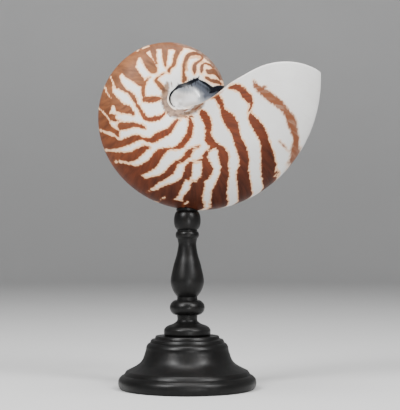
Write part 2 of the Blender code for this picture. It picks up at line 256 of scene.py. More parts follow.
# Paler, broken stripes near the lip
FAINT = (
    ((253.6, 81, 1.2), (256.5, 86.5, 5), (262, 91, 7), (268, 95.5, 8.5), (275, 100.5, 8.5),
     (281.5, 106.5, 7), (286.5, 112, 6.5), (290.5, 118.5, 8.6), (292.7, 125, 9.4), (294.2, 131, 7.2),
     (295.8, 137, 6), (295.8, 143, 6.2), (294.6, 149, 7.2), (293, 155, 6), (290.8, 161, 4),
     (287.5, 168, 3.5), (285, 175, 3)),
    ((262, 88.5, 3), (266.5, 87, 1)),
    ((279, 141, 0.5), (284, 146, 0.9), (288, 151, 0.5)),
    ((297, 149, 0.8), (292, 157.5, 1.3), (286.6, 166, 0.9)),
)

# Closed outline of the pearly patch; black film on its rim; painted shade and reflection in it; its highlight
PATCH = (
    (168.9, 99), (168.9, 96.6), (169.6, 94.5), (171, 92.3), (172.6, 90.4), (174.6, 88.4), (176.6, 86.6),
    (178.4, 84.7), (180, 84), (183, 83.3), (186, 82.4), (188.4, 81.3), (191, 80.4), (193, 79.6),
    (195, 78.6), (197.2, 77.8), (198.6, 78.4), (200.6, 80), (204, 81.5), (206.6, 83.2), (208.6, 84.6),
    (210.6, 86.2), (212.6, 87.4), (214.6, 86.6), (217, 85.4), (220, 85.2), (223, 85.6), (227, 86.5),
    (227, 90), (222, 93), (217, 96), (212, 98.6), (207, 101), (202, 103), (197, 104.4), (192, 105.2),
    (187, 106.4), (183.6, 107.6), (180, 108.4), (176.6, 108.4), (174, 107.4), (171.6, 105.4),
    (170, 103.2), (169.1, 101),
)
FILM = (
    ((175, 107.2, 0.5), (173.2, 106, 1.2), (171.4, 104, 1.5), (170.2, 101.6, 1.6), (169.7, 99, 1.9),
     (169.9, 96.6, 2), (170.7, 94.4, 2), (172.2, 92.2, 2), (174.2, 90.2, 2.1), (176.4, 88.4, 2.5),
     (178.6, 86.6, 3.4), (181.5, 85.6, 4), (185, 84.6, 3.6), (188.4, 83.3, 3.6), (192, 81.6, 3.6),
     (195, 80.2, 3.2), (197.6, 79, 2.2)),
    ((199.6, 80.4, 1.4), (203, 82, 2.4), (206, 83.7, 2.8), (209, 85.9, 3.2), (212.4, 88.6, 4),
     (216.4, 88.6, 5.6), (220.4, 88.4, 5.4), (225, 87.4, 4)),
    ((214, 90.5, 4), (210, 92.6, 1.6)),
    ((197.2, 80, 2.2), (199.2, 76, 0.8)),
    ((192.8, 81, 1.8), (194, 77.6, 0.7)),
    ((195.2, 80, 1.4), (196.2, 77.2, 0.6)),
    ((188.2, 83, 1.8), (188.8, 80, 0.6)),
    ((190.4, 82, 1.5), (190.9, 79.4, 0.6)),
    ((184, 84.6, 1.5), (183.6, 82, 0.6)),
    ((179, 86, 1.5), (178, 83, 0.6)),
    ((187, 85, 1.4), (188.4, 88, 0.5)),
    ((191, 83.4, 1.4), (192.2, 87, 0.5)),
    ((195.6, 81.4, 1.2), (195.4, 84.6, 0.5)),
    ((183, 86, 1.2), (185, 88, 0.5)),
)
# Painted shade and dark reflection on the pearl, deepening towards the aperture
PAINTED_SHADE_STROKES = (
    ((181, 86.6, 2.4), (184, 85.4, 6.4), (189, 83.6, 9.6), (195, 82, 12.4), (201, 85, 13), (206, 88, 15),
     (212, 91, 17), (218, 90, 15), (224, 88, 9)),
    ((212, 92, 12), (205, 96, 7)),
)
GLOSS = (
    ((197.2, 90.6, 4.4), (197, 95.6, 4.4)),
)

# Tan callus round the patch, its cream edge partly a painted highlight, and thin brown lines
CALLUS = (
    ((167.4, 84, 3), (165.8, 90, 5.4), (165, 96, 6.4), (165.6, 102, 7.4), (168, 107.8, 8),
     (172.6, 111.8, 8.6), (178.6, 113.2, 9), (184.6, 112.6, 9), (190, 111, 8.4), (195, 108.6, 7),
     (199.6, 106, 4.4), (203.4, 103.4, 1.6)),
)
# The rim's cream edge, partly a painted highlight along it
EDGE_HIGHLIGHT_LINE = (
    ((168.6, 94.6, 0.6), (168, 97.4, 1.2), (168, 100.4, 1.3), (168.9, 103.4, 1.3), (170.7, 106, 1.3),
     (173, 108, 1.2), (175.8, 109.4, 1)),
    ((184, 109, 0.6), (188.4, 108, 1), (193, 106.2, 1.1), (197, 104.6, 1)),
)
LIP_TAN = (
    ((196, 105, 0.8), (200, 103.2, 1.2), (205, 101, 1.4), (210, 98.6, 1.4), (215, 95.9, 1.4),
     (220, 92.9, 1.3), (224.6, 89.6, 1)),
)
BROWN_LINES = (
    ((203, 103.2, 0.6), (200.8, 104.9, 1.1), (198.2, 107.2, 1.4), (195.6, 109, 2), (192, 110, 2.2),
     (188, 109.9, 1.8), (184.4, 110.4, 1)),
    ((171.2, 81.6, 0.7), (171.5, 84, 1.2), (171.9, 86.8, 0.6)),
    ((167.4, 113.6, 0.6), (169.6, 115.8, 1.5), (170.6, 117, 0.6)),
    ((189.4, 117.2, 0.8), (191.8, 116.2, 1.8), (194, 117.6, 0.8)),
)

# Behind the lip: tan between the stripes, and a dusty strip along the venter
TAN_PATCHES = (
    ((190.6, 58, 2.4), (193.6, 57.2, 3), (197, 57, 3), (200.2, 57.6, 2.6)),
    ((187.4, 70.6, 1.6), (186.4, 66.6, 2), (187, 62, 1)),
    ((203, 61.6, 1.4), (200.4, 63, 1.4)),
)
WORN = (
    ((174, 43, 1), (180, 44, 2), (186, 45.4, 2.6), (192, 47.6, 3), (198, 50.4, 3.4), (204, 54.6, 4),
     (210, 60, 4.4), (215.2, 66, 4.4), (219.6, 72, 4), (222.6, 78.4, 3.4), (224.6, 85, 2.8)),
)

# A stroke beside the lip line belongs to the sheet that starts at this turn. A width shrinks by NEAR_FLANK,
# because the flank is nearer to the camera than the coil's plane
BEHIND_LIP = -0.25
OVER_LIP = 0.25
NEAR_FLANK = 0.965
PLACE_ROUNDS = 12
NOWHERE = -1000.0

# Across the venter, markings stay as they are at this share of its radius, and bend back by this angle
VENTER_SHARE = 0.965
VENTER_LAG = math.radians(6)

# The film crosses the turn inside the aperture: how far ahead of the lip line in millimetres, outside which
# share of the radius, and within which turns
FILM_AHEAD = 4.2
FILM_FROM = 0.78
FILM_TURNS = 0.1

# The far flank's markings are the near ones moved by waves round the coil: size, waves per turn, phase, and
# phase per millimetre from the axis. They calm down to nothing at the venter and at the lip line
FAR_SHIFTS = ((math.radians(5.5), 2, 0.9, 0), (math.radians(2.2), 7, 0, 1 / 9))
FAR_SWELLS = ((0.035, 5, 2.0, 0), (0.02, 11, 0, -1 / 7))
CALM_RISE = 14
CALM_TURNS = 0.10

# Colours, linear; a pair is mixed by a noise
CHALK = ((0.800, 0.800, 0.782), (0.755, 0.745, 0.728))
CHALK_LINES = (0.64, 0.61, 0.57)
CHALK_BEHIND_LIP = (0.66, 0.54, 0.43)
YOUNG_BROWN = ((0.098, 0.0280, 0.0145), (0.176, 0.0420, 0.0165))
DEEP_BROWN = ((0.040, 0.0110, 0.0060), (0.082, 0.0210, 0.0095))
OLD_BROWN = ((0.122, 0.0500, 0.0240), (0.240, 0.0980, 0.0430))
BROWN_BEHIND_LIP = (0.092, 0.038, 0.0200)
STRIPE_EDGE = (0.250, 0.062, 0.0180)
STRIPE_HALO = (0.860, 0.540, 0.320)
FAINT_BROWN = (0.200, 0.069, 0.032)
FAINT_HALO = (0.84, 0.56, 0.37)
TAN = (0.56, 0.28, 0.125)
DUST = ((0.245, 0.178, 0.148), (0.135, 0.076, 0.048))
CALLUS_TAN = ((0.088, 0.043, 0.024), (0.232, 0.138, 0.086))
LINE_BROWN = (0.120, 0.040, 0.018)
PEARL = ((0.90, 0.915, 0.93), (0.93, 0.92, 0.90))
# Painted shade along the pearl patch's outline
PEARL_EDGE_SHADE = (0.36, 0.34, 0.32)
# Painted shade and dark reflection on the pearl: three steps from grey-blue to black
PAINTED_SHADE_STEPS = (
    (-5.4, -0.9, (0.300, 0.318, 0.345)),
    (-1.6, 2.4, (0.074, 0.083, 0.104)),
    (2.8, 6.4, (0.014, 0.018, 0.022)),
)
FILM_BLACK = (0.004, 0.005, 0.008)
# Cream of the rim's edge, partly a painted highlight
EDGE_CREAM_HIGHLIGHT = (0.82, 0.72, 0.62)
NACRE = ((0.80, 0.77, 0.73), (0.78, 0.69, 0.72))
NACRE_GREEN = (0.66, 0.76, 0.74)
NACRE_LINES = (0.60, 0.56, 0.54)
NACRE_FILM = (0.008, 0.010, 0.014)
NACRE_CALLUS = (0.220, 0.135, 0.088)
NACRE_BROWN = (0.160, 0.075, 0.040)
RIM_WORN = ((0.66, 0.50, 0.38), (0.34, 0.20, 0.125))
RIM_CLEAN = ((0.83, 0.82, 0.79), (0.68, 0.64, 0.59))
STEM_BLACK = 0.0030
BASE_BLACK = 0.0027
FLOOR_GREY = (0.54, 0.54, 0.537)
# Lighter grey up the wall: painted light
WALL_GREY_PAINTED_LIGHT = (0.80, 0.80, 0.797)
MOTTLE_GREY = (0.48, 0.48, 0.48)

# Studio, in metres and watts: a round bowl, soft boxes (name, place, aim, size, power), and a low strip that
# is seen in glossy surfaces only and gives the pearl its highlight
BOWL_FLOOR = 2.2
BOWL_BEND = 1.2
BOWL_TOP = 3.4
BOWL_SPOKES = 96
BOWL_ARCS = 16
SOFT_BOXES = (
    ("box_left", (-0.76, -0.82, 1.10), (0, 0, 0.17), (0.35, 0.75), 27),
    ("box_right", (0.78, -0.80, 1.05), (0, 0, 0.17), (0.32, 0.75), 24),
    ("box_top", (0.0, -0.20, 1.35), (0, 0, 0.2), (0.8, 0.8), 17),
)
GLOSS_STRIP = ("strip_low", (0.20, -0.775, 0.072), (0, 0, 0.22), (0.03, 0.12), 1.8)
SKY_COLOUR = (0.86, 0.87, 0.90, 1)
SKY_STRENGTH = 0.28


def venter_radius(angle):
    return LIP_RADIUS * GROWTH_PER_TURN ** ((angle - LIP_ANGLE) / TURN)


def section_shape(x):
    shoulder = VENTER_ROUNDNESS * (SHOULDER_OFFSET + WIDEST_AT) / (1 - WIDEST_AT)
    return (1 - x) ** VENTER_ROUNDNESS * (x + SHOULDER_OFFSET) ** shoulder


def ease(u):
    """0 below 0 and 1 above 1, with a smooth step between."""
    u = np.clip(u, 0.0, 1.0)
    return u * u * (3 - 2 * u)


def half_breadth(rho, venter):
    x = np.minimum(rho / venter, 1.0)
    flank = venter * HALF_BREADTH * section_shape(x) / section_shape(WIDEST_AT)
    rise = ease(rho / (FUNNEL_FRACTION * venter))
    return FUNNEL_FLOOR * (1 - rise) + flank * rise


def skin_height(rho, venter, t):
    own = half_breadth(rho, venter)
    fade = ease(1 - (1 - t) / LIP_FADE) * (1 - ease((rho - UMBILICUS_RADIUS) / LIP_RISE))
    return own + (half_breadth(rho, venter / GROWTH_PER_TURN) - own) * fade


def lip_angle(rho):
    """Angle of the lip line at rho, on a smooth curve through LIP_LINE."""
    radii, leads = np.array(LIP_LINE).T
    x = rho / LIP_RADIUS
    i = np.clip(np.searchsorted(radii, x) - 1, 0, len(radii) - 2)
    width = radii[i + 1] - radii[i]
    slopes = np.gradient(leads, radii)
    u = (x - radii[i]) / width
    lead = (
        leads[i] * (1 + 2 * u) * (1 - u) ** 2
        + leads[i + 1] * u * u * (3 - 2 * u)
        + slopes[i] * width * u * (1 - u) ** 2
        - slopes[i + 1] * width * u * u * (1 - u)
    )
    return LIP_ANGLE + np.radians(lead)


def even_rows():
    """Where a row lies between the horn (0) and the venter (1), for rows evenly spaced on the skin."""
    x = HORN_RADIUS / LIP_RADIUS
    fractions = (1 - np.cos(np.linspace(0, math.pi, ROW_SAMPLES))) / 2
    rho = LIP_RADIUS * (x + (1 - x) * fractions)
    steps = np.hypot(np.diff(rho), np.diff(half_breadth(rho, LIP_RADIUS)))
    length = np.concatenate(((0.0,), np.cumsum(steps)))
    return length / length[-1], fractions


ROW_LENGTH, ROW_FRACTION = even_rows()


def skin_points(t, row):
    """Points of the outer skin for arrays of turns and rows; rows are negative on the -Y flank."""
    t, row = np.broadcast_arrays(np.asarray(t, float), np.asarray(row, float))
    k = np.abs(row)
    share = np.interp(1 - np.minimum(k / FLANK_ROWS, 1), ROW_LENGTH, ROW_FRACTION)
    funnel = HORN_RADIUS * (1 - (k - FLANK_ROWS) / FUNNEL_ROWS)
    rho = np.full(t.shape, HORN_RADIUS)
    for _ in range(SOLVE_ROUNDS):
        angle = lip_angle(rho) - TURN * (1 - t)
        flank = HORN_RADIUS + (venter_radius(angle) - HORN_RADIUS) * share
        rho = np.where(k <= FLANK_ROWS, flank, funnel)
    y = np.sign(row) * skin_height(rho, venter_radius(angle), t)
    return np.stack((COIL_X + rho * np.cos(angle), y, COIL_Z + rho * np.sin(angle)), axis=-1)


def skin_normals(t, row):
    """Unit normals of the skin, pointing out."""
    t, row = np.broadcast_arrays(np.asarray(t, float), np.asarray(row, float))
    along = skin_points(t + SLOPE_STEP, row) - skin_points(t - SLOPE_STEP, row)
    across = skin_points(t, row + ROW_STEP) - skin_points(t, row - ROW_STEP)
    normal = np.cross(along, across)
    normal /= np.linalg.norm(normal, axis=-1, keepdims=True)
    outward = skin_points(t, row) - np.array((COIL_X, 0.0, COIL_Z))
    return normal * np.sign(np.sum(normal * outward, axis=-1, keepdims=True))


def septum_points(wall, dorsal, u, row):
    """Between the chamber's outer wall and the turn inside it, bulging back from the aperture."""
    rhos = [np.hypot(p[..., 0] - COIL_X, p[..., 2] - COIL_Z) for p in (wall, dorsal)]
    angles = [np.arctan2(p[..., 2] - COIL_Z, p[..., 0] - COIL_X) for p in (wall, dorsal)]
    lag = (angles[0] - angles[1] + math.pi) % TURN - math.pi
    bulge = SEPTUM_DEPTH * np.sin(math.pi * u) * (1 - (row / FLANK_ROWS) ** 2)
    angle = angles[0] - u * lag - bulge
    rho = rhos[0] + (rhos[1] - rhos[0]) * u
    y = wall[..., 1] + (dorsal[..., 1] - wall[..., 1]) * u
    return np.stack((COIL_X + rho * np.cos(angle), y, COIL_Z + rho * np.sin(angle)), axis=-1)


def place(name, data):
    thing = bpy.data.objects.new(name, data)
    bpy.context.scene.collection.objects.link(thing)
    return thing


def sewn(mesh, crease, seam=0.0):
    """The mesh as a smooth object: seam points joined, normals out, edges past the crease sharp."""
    bm = bmesh.new()
    bm.from_mesh(mesh)
    if seam:
        bmesh.ops.remove_doubles(bm, verts=bm.verts, dist=seam)
    bmesh.ops.recalc_face_normals(bm, faces=bm.faces)
    bm.to_mesh(mesh)
    bm.free()
    mesh.shade_smooth()
    mesh.set_sharp_from_angle(angle=crease)
    return place(mesh.name, mesh)


class Loft:
    """Sheets of points sewn into one mesh along their shared edges."""

    def __init__(self):
        self.points = []
        self.faces = []
        self.slots = []
        self.turns = []
        self.count = 0

    def sheet(self, grid, slot, turns):
        grid = np.asarray(grid)
        rows, columns = grid.shape[:2]
        self.turns.append(np.broadcast_to(turns, (rows, columns)).ravel())
        index = self.count + np.arange(rows * columns).reshape(rows, columns)
        corners = (index[:-1, :-1], index[:-1, 1:], index[1:, 1:], index[1:, :-1])
        quads = np.stack(corners, axis=-1).reshape(-1, 4)
        self.points.append(grid.reshape(-1, 3))
        self.faces.extend(quads.tolist())
        self.slots.extend([slot] * len(quads))
        self.count += rows * columns

    def polygon(self, points, slot, turn):
        self.points.append(np.asarray(points))
        self.turns.append(np.full(len(points), turn))
        self.faces.append(list(range(self.count, self.count + len(points))))
        self.slots.append(slot)
        self.count += len(points)

    def finish(self, name, materials):
        mesh = bpy.data.meshes.new(name)
        mesh.from_pydata(np.concatenate(self.points).tolist(), [], self.faces)
        mesh.polygons.foreach_set("material_index", self.slots)
        layer = mesh.attributes.new("turn", "FLOAT", "POINT")
        layer.data.foreach_set("value", np.concatenate(self.turns).astype(np.float32))
        for material in materials:
            mesh.materials.append(material)
        return sewn(mesh, SHELL_CREASE, SEAM)


def make_shell(materials):
    """Outer skin, rounded lip, chamber wall, the turn inside the chamber and the last septum, as one mesh."""
    loft = Loft()
    last_row = FLANK_ROWS + FUNNEL_ROWS
    skin_rows = np.arange(-last_row, last_row + 1)
    flank_rows = np.arange(-FLANK_ROWS, FLANK_ROWS + 1)
    turns = np.linspace(0, 1, COLUMNS + 1)[:, None]
    chamber = np.linspace(1 - CHAMBER_TURNS, 1, CHAMBER_COLUMNS + 1)[:, None]
    across = np.linspace(0, 1, SEPTUM_ROWS + 1)

    loft.sheet(skin_points(turns, skin_rows), 0, turns)
    normals = skin_normals(chamber, flank_rows)
    outer = skin_points(chamber, flank_rows)
    depth = LIP_WALL + (WALL - LIP_WALL) * ease((1 - chamber) / LIP_TAPER)
    wall = outer - depth[..., None] * normals
    dorsal = skin_points(chamber - 1, flank_rows)
    loft.sheet(wall, 1, chamber)
    loft.sheet(dorsal, 1, chamber - 1)
    septum = [septum_points(wall[0], dorsal[0], u, flank_rows) for u in across]
    loft.sheet(septum, 1, chamber[0])

    lip = skin_points(np.ones(1)[:, None], flank_rows)[0]
    ahead = lip - skin_points(np.array(1 - SLOPE_STEP)[None, None], flank_rows)[0]
    ahead /= np.linalg.norm(ahead, axis=-1, keepdims=True)
    taper = np.minimum(1, (FLANK_ROWS - np.abs(flank_rows)) / RIM_FADE_ROWS)[:, None]
    rim = []
    for i in range(RIM_ROWS + 1):
        u = i / RIM_ROWS
        swell = RIM_SWELL * LIP_WALL * math.sin(math.pi * u)
        rim.append(lip + (wall[-1] - lip) * u + ahead * taper * swell)
    loft.sheet(rim, 2, 1.0)
    for end, row in ((0, -FLANK_ROWS), (-1, FLANK_ROWS)):
        horn_wall = np.array([septum_points(wall[:, end], dorsal[:, end], u, row) for u in across])
        loft.sheet(horn_wall[:, :-HORN_SKIN_COLUMNS], 1, 1.0)
        loft.sheet(horn_wall[:, -HORN_SKIN_COLUMNS - 1:], 0, 1.0)
        corner = [stage[end] for stage in rim]
        loft.polygon([*corner, *horn_wall[1:, -1]], 0, 1.0)
    for side in (-1, 1):
        web_rows = side * np.arange(FLANK_ROWS, last_row + 1)
        ends = np.array((0.0, 1.0))[:, None]
        loft.sheet(skin_points(ends, web_rows), 0, ends)
    return loft.finish("nautilus_shell_finished", materials)


def smooth_run(stations, steps):
    """Points on a curve through the stations, with this many steps between each two."""
    points = [np.array(p) for p in (stations[0], *stations, stations[-1])]
    run = []
    for p0, p1, p2, p3 in zip(points, points[1:], points[2:], points[3:]):
        for u in np.linspace(0, 1, steps, endpoint=False):
            bend = (2 * p0 - 5 * p1 + 4 * p2 - p3) * u**2 + (3 * p1 - p0 - 3 * p2 + p3) * u**3
            run.append(tuple(p1 + ((p2 - p0) * u + bend) / 2))
    return run + [stations[-1]]


def bead(neck, full, top, bottom, steps):
    """Half an ellipse standing out from the neck radius, from the top height down."""
    middle = (top + bottom) / 2
    half = (top - bottom) / 2
    angles = [math.pi * i / steps for i in range(steps + 1)]
    return [(neck + (full - neck) * math.sin(a), middle + half * math.cos(a)) for a in angles]


def stem_outline():
    run = list(STEM_COLLAR)
    run += bead(*STEM_BALL, steps=22)
    run += bead(*STEM_RING, steps=14)
    run += smooth_run(STEM_VASE, steps=9)
    run += bead(*STEM_KNOP, steps=22)
    return run + smooth_run(STEM_FOOT, steps=6)


def base_outline():
    run = [*BASE_TOP, *BASE_LEDGES]
    run += smooth_run(BASE_BELL, steps=9)
    run += BASE_FILLET
    return run + smooth_run(BASE_ROLL, steps=5)


def flank_place(x, y, first):
    """Side-view place, from the coil axis, of the near flank's point that a place on the photograph shows.

    Beside the lip line it is on the sheet whose turns lie between first and first + 1."""
    x, y = np.asarray(x, float), np.asarray(y, float)
    pitch = math.atan2(AIM[2] - EYE[2], AIM[1] - EYE[1])
    across = (x - FRAME_SIZE[0] / 2) / FOCAL
    up = (FRAME_SIZE[1] / 2 - y) / FOCAL
    ahead = math.cos(pitch) - up * math.sin(pitch)
    rise = math.sin(pitch) + up * math.cos(pitch)
    depth = np.zeros(x.shape)
    for _ in range(PLACE_ROUNDS):
        reach = (-depth - EYE[1]) / ahead
        side = EYE[0] + across * reach - COIL_X
        height = EYE[2] + rise * reach - COIL_Z
        rho = np.hypot(side, height)
        lip = lip_angle(np.minimum(rho, LIP_RADIUS))
        t = first + (1 + (np.arctan2(height, side) - lip) / TURN - first) % 1
        depth = skin_height(rho, venter_radius(lip - TURN * (1 - t)), t)
    return np.stack((side, height), axis=-1)


def carried(stroke, first):
    """The stroke's smoothed run in the side view, as places and widths in millimetres."""
    run = np.array(smooth_run([tuple(map(float, p)) for p in stroke], 4))
    places = flank_place(run[:, 0], run[:, 1], first) * MM
    scale = MM * -EYE[1] / FOCAL * NEAR_FLANK
    return np.column_stack((places, run[:, 2] * scale))


def nearest(places, ax, az, bx, bz):
    """How far along the line from a to b each place's nearest point lies, 0 to 1, and how far away it is."""
    ex, ez = bx - ax, bz - az
    u = ((places[:, 0] - ax) * ex + (places[:, 1] - az) * ez) / max(ex * ex + ez * ez, 1e-9)
    u = np.clip(u, 0, 1)
    return u, np.hypot(places[:, 0] - ax - u * ex, places[:, 1] - az - u * ez)


def reach_of(stroke, places, first):
    """How far inside the stroke each side-view place lies, in millimetres; negative outside it."""
    run = carried(stroke, first)
    best = np.full(len(places), NOWHERE)
    for (ax, az, aw), (bx, bz, bw) in zip(run, run[1:]):
        u, gap = nearest(places, ax, az, bx, bz)
        best = np.maximum(best, (aw + (bw - aw) * u) / 2 - gap)
    return best


def reach_of_all(strokes, places, first=0.0):
    return np.max([reach_of(stroke, places, first) for stroke in strokes], axis=0)


def reach_of_outline(outline, places, first):
    """Signed distance inside a closed outline, in millimetres."""
    ring = flank_place(*np.array(outline, float).T, first) * MM
    gap = np.full(len(places), -NOWHERE)
    inside = np.zeros(len(places), bool)
    for (ax, az), (bx, bz) in zip(ring, np.roll(ring, -1, axis=0)):
        gap = np.minimum(gap, nearest(places, ax, az, bx, bz)[1])
        crosses = (az > places[:, 1]) != (bz > places[:, 1])
        with np.errstate(divide="ignore", invalid="ignore"):
            at = ax + (places[:, 1] - az) * (bx - ax) / (bz - az)
        inside ^= crosses & (places[:, 0] < at)
    return np.where(inside, gap, -gap)


def stripe_reach(places, turns):
    """Signed distance into the brown markings; strokes beside the lip line keep to their side of it."""
    reach = reach_of_all(MASSES, places)
    reach = np.minimum(reach, -reach_of_all(GAPS, places))
    reach = np.maximum(reach, reach_of_all(STRIPES, places))
    behind = reach_of_all(STRIPES_BEHIND_LIP, places, BEHIND_LIP)
    ahead = reach_of_all(STRIPES_OVER_LIP, places, OVER_LIP)
    return np.maximum(reach, np.where(turns < 0.5, behind, ahead))


def polar(places):
    return np.hypot(places[:, 0], places[:, 1]), np.arctan2(places[:, 1], places[:, 0])


def from_polar(rho, angle):
    return np.stack((rho * np.cos(angle), rho * np.sin(angle)), axis=-1)


def waves(terms, angle, rho):
    return sum(size * np.sin(count * angle + phase + drift * rho) for size, count, phase, drift in terms)


def far_side_places(places, turns, rise):
    """Side-view places to look the far flank's stripes up at: the same animal, but not a mirror image."""
    rho, angle = polar(places)
    calm = ease(rise / CALM_RISE) * ease(turns / CALM_TURNS) * ease((1 - turns) / CALM_TURNS)
    moved = angle + waves(FAR_SHIFTS, angle, rho) * calm
    rho = rho * (1 + waves(FAR_SWELLS, angle, rho) * calm)
    return from_polar(rho, moved)


def across_venter(places, turns, rise):
    """Side-view places to look the stripes up at, where they run round the venter from flank to flank."""
    rho, angle = polar(places)
    lip = lip_angle(np.minimum(rho / MM, LIP_RADIUS))
    venter = venter_radius(lip - TURN * (1 - turns)) * MM
    shoulder = half_breadth(VENTER_SHARE * venter, venter)
    lag = VENTER_LAG * np.clip(1 - rise / shoulder, 0, 1) ** 2
    return from_polar(np.minimum(rho, VENTER_SHARE * venter), angle + lag)


def film_reach(places, turns, rho):
    """Signed distance into the black film, with the band that it makes across the venter at the aperture."""
    radius = LIP_RADIUS / GROWTH_PER_TURN * MM
    film = reach_of_all(FILM, places, BEHIND_LIP)
    band = FILM_AHEAD - turns * TURN * radius
    on_venter = (np.abs(turns) < FILM_TURNS) & (rho > FILM_FROM * radius)
    return np.where(on_venter, np.maximum(film, band), film)


def mark_shell(mesh):
    """Stores the markings' distances, in millimetres, and the growth coordinates on the shell's points."""
    count = len(mesh.vertices)
    points = np.empty(count * 3)
    mesh.vertices.foreach_get("co", points)
    points = points.reshape(-1, 3)
    turns = np.empty(count)
    mesh.attributes["turn"].data.foreach_get("value", turns)
    places = (points[:, (0, 2)] - (COIL_X, COIL_Z)) * MM
    rho = np.hypot(places[:, 0], places[:, 1])
    rise = np.abs(points[:, 1]) * MM
    far = points[:, 1] > 0
    kept = across_venter(places, turns, rise)
    seen = kept.copy()
    seen[far] = far_side_places(kept[far], turns[far], rise[far])

    over = turns > 0.5
    back = ~over | (rho < HORN_RADIUS * MM)
    lip_tan = reach_of_all(LIP_TAN, places, OVER_LIP)
    tan_patches = reach_of_all(TAN_PATCHES, places, BEHIND_LIP)
    fields = {
        "stripe": stripe_reach(seen, turns),
        "faint": np.where(over, reach_of_all(FAINT, seen, OVER_LIP), NOWHERE),
        "film": np.where(back, film_reach(places, turns, rho), NOWHERE),
        "painted_shade": np.where(back, reach_of_all(PAINTED_SHADE_STROKES, places, BEHIND_LIP), NOWHERE),
        "worn": np.where(over, NOWHERE, reach_of_all(WORN, kept, BEHIND_LIP)),
        "tan": np.where(over, lip_tan, tan_patches),
        "gloss": reach_of_all(GLOSS, places, BEHIND_LIP),
        "patch": np.where(back, reach_of_outline(PATCH, places, BEHIND_LIP), NOWHERE),
        "callus": reach_of_all(CALLUS, places, OVER_LIP),
        "edge_line": reach_of_all(EDGE_HIGHLIGHT_LINE, places, OVER_LIP),
        "brown_line": reach_of_all(BROWN_LINES, places, OVER_LIP),
    }
    for name, values in fields.items():
        layer = mesh.attributes.new(name, "FLOAT", "POINT")
        layer.data.foreach_set("value", values.astype(np.float32))
    radius = LIP_RADIUS * GROWTH_PER_TURN ** (turns - 1) * MM
    along = radius * TURN / math.log(GROWTH_PER_TURN)
    percent_out = 100 * rho / radius
    growth = np.stack((along, percent_out, np.sign(points[:, 1])), axis=-1)
    layer = mesh.attributes.new("growth", "FLOAT_VECTOR", "POINT")
    layer.data.foreach_set("vector", growth.astype(np.float32).ravel())


def ring_points(rings, steps):
    """The centre of the first ring, then each ring's points, from (radius, height) pairs."""
    angles = np.linspace(0, TURN, steps, endpoint=False)
    points = [(0.0, 0.0, rings[0][1])]
    for r, z in rings:
        points += [(r * math.cos(a), r * math.sin(a), z) for a in angles]
    return points


def ring_faces(count, steps):
    """A fan from the centre to the first ring, then a band from each ring to the next."""
    faces = [(0, 1 + i, 1 + (i + 1) % steps) for i in range(steps)]
    for j in range(count - 1):
        a, b = 1 + j * steps, 1 + (j + 1) * steps
        faces += [(a + i, b + i, b + (i + 1) % steps, a + (i + 1) % steps) for i in range(steps)]
    return faces


def make_turned(name, outline, steps, cap_rings, material, seat=None):
    """An outline turned about the Z axis, closed by discs; seat gives the highest the top disc may be."""
    top_radius, top = outline[0]
    rings = [(top_radius * (i + 1) / (cap_rings + 1), top) for i in range(cap_rings)]
    rings += list(outline)
    points = ring_points(rings, steps)
    points.append((0.0, 0.0, outline[-1][1]))
    if seat:
        points = [(x, y, min(z, seat(x, y))) for x, y, z in points]
    last = len(points) - 1
    a = last - steps
    faces = ring_faces(len(rings), steps)
    faces += [(a + i, last, a + (i + 1) % steps) for i in range(steps)]
    mesh = bpy.data.meshes.new(name)
    mesh.from_pydata(points, [], faces)
    mesh.materials.append(material)
    return sewn(mesh, STAND_CREASE)


class Paint:
    """A node material, with short calls for the nodes that it uses."""

    def __init__(self, name):
        self.material = bpy.data.materials.new(name)
        self.material.use_nodes = True
        self.tree = self.material.node_tree
        self.shader = self.tree.nodes["Principled BSDF"]

    def feed(self, socket, value):
        if isinstance(value, bpy.types.NodeSocket):
            self.tree.links.new(value, socket)
        elif socket.type == "RGBA":
            socket.default_value = (*value, 1.0)
        else:
            socket.default_value = value

    def set(self, **values):
        """Shader inputs, by their names in lower case with underscores."""
        sockets = {socket.name.lower().replace(" ", "_"): socket for socket in self.shader.inputs}
        for name, value in values.items():
            self.feed(sockets[name], value)

    def add(self, kind, inputs=None, **settings):
        """The outputs of a new node; its inputs go by name, or by number where names repeat."""
        node = self.tree.nodes.new("ShaderNode" + kind)
        for name, value in settings.items():
            setattr(node, name, value)
        for key, value in (inputs or {}).items():
            self.feed(node.inputs[key], value)
        return node.outputs

    def field(self, name):
        return self.add("Attribute", attribute_name=name)["Fac"]

    def places(self, name=None):
        """The object's own coordinates, or a stored vector."""
        if name is None:
            return self.add("TexCoord")["Object"]
        return self.add("Attribute", attribute_name=name)["Vector"]

    def scaled(self, vector, factors):
        return self.add("VectorMath", {0: vector, 1: factors}, operation="MULTIPLY")[0]

    def noise(self, vector, scale, detail=3.0, roughness=0.55, distortion=0.0):
        inputs = {"Scale": scale, "Detail": detail, "Roughness": roughness, "Distortion": distortion}
        return self.add("TexNoise", {"Vector": vector, **inputs})["Fac"]

    def math(self, operation, first, second=0.0, third=0.0):
        return self.add("Math", {0: first, 1: second, 2: third}, operation=operation)[0]

    def span(self, value, low, high, out_low=0.0, out_high=1.0):
        """A smooth step from one value to another while the input goes from low to high."""
        inputs = dict(enumerate((value, low, high, out_low, out_high)))
        return self.add("MapRange", inputs, interpolation_type="SMOOTHSTEP")[0]

    def frayed(self, distance, noise, amount):
        """A distance moved by up to half the amount either way, so that the edge at 0 frays."""
        return self.math("MULTIPLY_ADD", self.math("SUBTRACT", noise, 0.5), amount, distance)

    def part(self, vector, axis):
        return self.add("SeparateXYZ", {0: vector})[axis]

    def mix(self, factor, first, second):
        return self.add("Mix", {0: factor, 6: first, 7: second}, data_type="RGBA")[2]

    def bump(self, height, distance, strength):
        return self.add("Bump", {"Height": height, "Distance": distance, "Strength": strength})[0]


